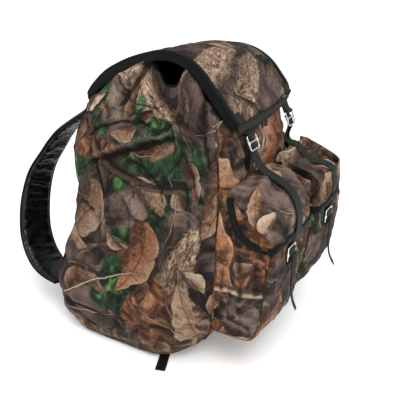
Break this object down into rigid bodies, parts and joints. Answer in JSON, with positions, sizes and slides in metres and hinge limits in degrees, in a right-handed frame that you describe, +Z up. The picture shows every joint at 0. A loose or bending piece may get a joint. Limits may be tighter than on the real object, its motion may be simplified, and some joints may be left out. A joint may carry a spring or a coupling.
{
  "type": "hunting backpack",
  "caption": "Large soft hunting backpack in leaf-print cloth with a fold-over lid, front pockets under buckled flaps, webbing straps with wire buckles and padded shoulder straps.",
  "frame": {"origin": "middle of the flat bottom, on the floor", "axes": "+Z up; the two pockets face -Y; the shoulder straps and the wearer are on the +Y side; -X is the wearer's left"},
  "size_m": [0.4646, 0.6083, 0.597],
  "materials": {
    "camo_cloth": "matte",
    "black_padding": "satin",
    "black_tape": "matte",
    "webbing": "matte",
    "foam": "matte",
    "nickel_wire": "polished"
  },
  "bodies": {
    "pack": {"back_foam": "foam", "back_panel": "camo_cloth", "bottom_panel": "camo_cloth", "front_panel": "camo_cloth", "front_strap_left": "webbing", "front_strap_right": "webbing", "haul_loop": "webbing", "lash_strap_left": "webbing", "lash_strap_right": "webbing", "pocket_buckle_left": "nickel_wire", "pocket_buckle_loop_left": "webbing", "pocket_buckle_loop_right": "webbing", "pocket_buckle_right": "nickel_wire", "pocket_front_left": "camo_cloth", "pocket_front_right": "camo_cloth", "pocket_gusset_left": "camo_cloth", "pocket_gusset_right": "camo_cloth", "shoulder_strap_left": "black_padding", "shoulder_strap_right": "black_padding", "side_panel_left": "camo_cloth", "side_panel_right": "camo_cloth", "strap_adjuster_left": "nickel_wire", "strap_adjuster_right": "nickel_wire", "strap_patch": "black_tape", "strap_webbing_left": "webbing", "strap_webbing_right": "webbing", "throat_eyelets": "nickel_wire", "throat_hem": "black_tape", "throat_skirt": "camo_cloth"},
    "lid": {"lid_panel": "camo_cloth", "lid_binding_left": "black_tape", "lid_binding_right": "black_tape", "lid_front_tape": "webbing", "lid_tab_left": "webbing", "lid_tab_right": "webbing"},
    "left_lid_buckle": {"lid_buckle_left": "nickel_wire"},
    "left_lid_bar": {"lid_crossbar_left": "nickel_wire"},
    "left_flap": {"pocket_flap_left": "camo_cloth", "flap_binding_left": "black_tape", "flap_strap_left": "webbing"},
    "left_pocket_bar": {"pocket_crossbar_left": "nickel_wire"},
    "right_lid_buckle": {"lid_buckle_right": "nickel_wire"},
    "right_lid_bar": {"lid_crossbar_right": "nickel_wire"},
    "right_flap": {"pocket_flap_right": "camo_cloth", "flap_binding_right": "black_tape", "flap_strap_right": "webbing"},
    "right_pocket_bar": {"pocket_crossbar_right": "nickel_wire"}
  },
  "joints": [
    {"name": "lid_hinge", "type": "hinge", "parent": "pack", "child": "lid", "pos_m": [0, 0.191, 0.484], "axis": [-1, 0, 0], "range_deg": [0, 120]},
    {"name": "left_flap_hinge", "type": "hinge", "parent": "pack", "child": "left_flap", "pos_m": [-0.104, -0.1515, 0.394], "axis": [-1, 0, 0], "range_deg": [0, 70]},
    {"name": "left_lid_buckle_swing", "type": "hinge", "parent": "lid", "child": "left_lid_buckle", "pos_m": [-0.1, -0.14258, 0.46563], "axis": [-1, 0, 0], "range_deg": [0, 60]},
    {"name": "left_lid_bar_slide", "type": "slide", "parent": "left_lid_buckle", "child": "left_lid_bar", "axis": [0, 0.4384, 0.8988], "range_m": [-0.006, 0.005]},
    {"name": "left_pocket_bar_slide", "type": "slide", "parent": "pack", "child": "left_pocket_bar", "axis": [0, 0, 1], "range_m": [-0.006, 0.0055]},
    {"name": "right_flap_hinge", "type": "hinge", "parent": "pack", "child": "right_flap", "pos_m": [0.104, -0.1515, 0.394], "axis": [-1, 0, 0], "range_deg": [0, 70]},
    {"name": "right_lid_buckle_swing", "type": "hinge", "parent": "lid", "child": "right_lid_buckle", "pos_m": [0.1, -0.13301, 0.45963], "axis": [-1, 0, 0], "range_deg": [0, 60]},
    {"name": "right_lid_bar_slide", "type": "slide", "parent": "right_lid_buckle", "child": "right_lid_bar", "axis": [0, 0.4067, 0.9135], "range_m": [-0.006, 0.005]},
    {"name": "right_pocket_bar_slide", "type": "slide", "parent": "pack", "child": "right_pocket_bar", "axis": [0, 0, 1], "range_m": [-0.006, 0.0055]}
  ]
}
